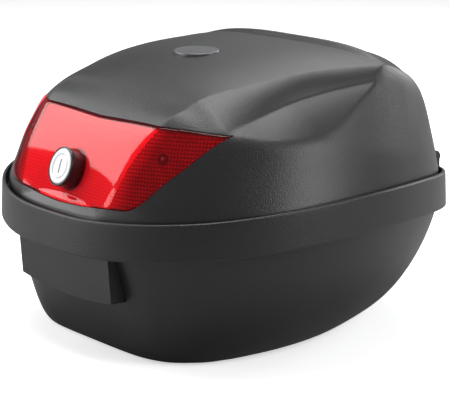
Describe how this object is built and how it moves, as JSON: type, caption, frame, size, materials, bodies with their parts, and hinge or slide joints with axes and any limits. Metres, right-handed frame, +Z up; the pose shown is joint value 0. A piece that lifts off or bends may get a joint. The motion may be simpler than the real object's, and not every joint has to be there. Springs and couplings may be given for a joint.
{
  "type": "motorcycle top case",
  "caption": "Domed lockable luggage case with a hinged lid, wrap-round rear reflector, push lock, carry grip and a quick release for a carrier plate.",
  "frame": {"origin": "on the ground under the middle of the case", "axes": "+X across, +Y towards the hinge side, -Y towards the lock and reflector, +Z up"},
  "size_m": [0.3925, 0.4218, 0.2569],
  "materials": {
    "case_plastic": "fine grained satin",
    "case_plastic_lid": "fine grained satin",
    "case_plastic_grip": "fine grained satin",
    "seal_rubber": "matte",
    "foot_rubber": "matte",
    "screw_steel": "zinc plated",
    "plated_steel": "zinc plated",
    "spring_steel": "drawn wire",
    "inner_plastic": "satin",
    "release_red": "semi gloss",
    "mat_fabric": "ribbed mat",
    "red_lens": "clear red, glossy",
    "red_insert": "prismatic",
    "badge_grey": "satin",
    "hinge_plastic": "satin",
    "collar_black": "satin gloss",
    "lock_silver": "satin chrome",
    "lock_silver_core": "satin"
  },
  "bodies": {
    "base": {"base_shell": "case_plastic", "rim_seal": "seal_rubber", "rubber_feet": "foot_rubber", "rear_grip": "case_plastic_grip", "grip_screws": "screw_steel", "striker_plate": "plated_steel", "striker_screws": "screw_steel", "carrier_hooks": "plated_steel", "carrier_hook_screws": "screw_steel", "release_housing": "inner_plastic", "release_housing_screws": "screw_steel", "release_spring": "spring_steel", "floor_mat": "mat_fabric", "hinge_leaf_base": "hinge_plastic", "hinge_screws_base": "screw_steel", "hinge_pins": "plated_steel"},
    "lid": {"lid_shell": "case_plastic_lid", "reflector_lens": "red_lens", "reflector_insert": "red_insert", "lens_screws": "screw_steel", "top_badge": "badge_grey", "hinge_leaf_lid": "hinge_plastic", "hinge_screws_lid": "screw_steel", "lock_collar": "collar_black", "lock_washer": "plated_steel", "lock_nut": "plated_steel", "latch_bracket": "plated_steel", "latch_bracket_screws": "screw_steel", "latch_pivot_pin": "plated_steel"},
    "push_button": {"lock_button": "lock_silver", "lock_pusher": "inner_plastic"},
    "key_core": {"lock_plug": "lock_silver_core", "lock_cam": "plated_steel", "lock_cam_nut": "plated_steel"},
    "hook": {"latch_hook": "plated_steel"},
    "release_key": {"release_button": "release_red"},
    "release_catch": {"release_bolt": "plated_steel"}
  },
  "joints": [
    {"name": "lid_hinge", "type": "hinge", "parent": "base", "child": "lid", "pos_m": [0, 0.20588, 0.132], "axis": [-1, 0, 0], "range_deg": [0, 80]},
    {"name": "lock_push", "type": "slide", "parent": "lid", "child": "push_button", "axis": [0, -0.9397, 0.342], "range_m": [0, 0.0035]},
    {"name": "key_turn", "type": "hinge", "parent": "push_button", "child": "key_core", "pos_m": [0, -0.186, 0.1588], "axis": [0, -0.9397, 0.342], "range_deg": [0, 90]},
    {"name": "latch_swing", "type": "hinge", "parent": "lid", "child": "hook", "pos_m": [0, -0.1731, 0.1213], "axis": [1, 0, 0], "range_deg": [0, 11.2]},
    {"name": "release_press", "type": "slide", "parent": "base", "child": "release_key", "axis": [0, 0, -1], "range_m": [0, 0.004]},
    {"name": "release_draw", "type": "slide", "parent": "base", "child": "release_catch", "axis": [0, 1, 0], "range_m": [0, 0.004]}
  ],
  "couplings": [
    {"joint": "latch_swing", "follows": "lock_push", "rad_per_m": 55},
    {"joint": "release_draw", "follows": "release_press", "ratio": 1}
  ]
}
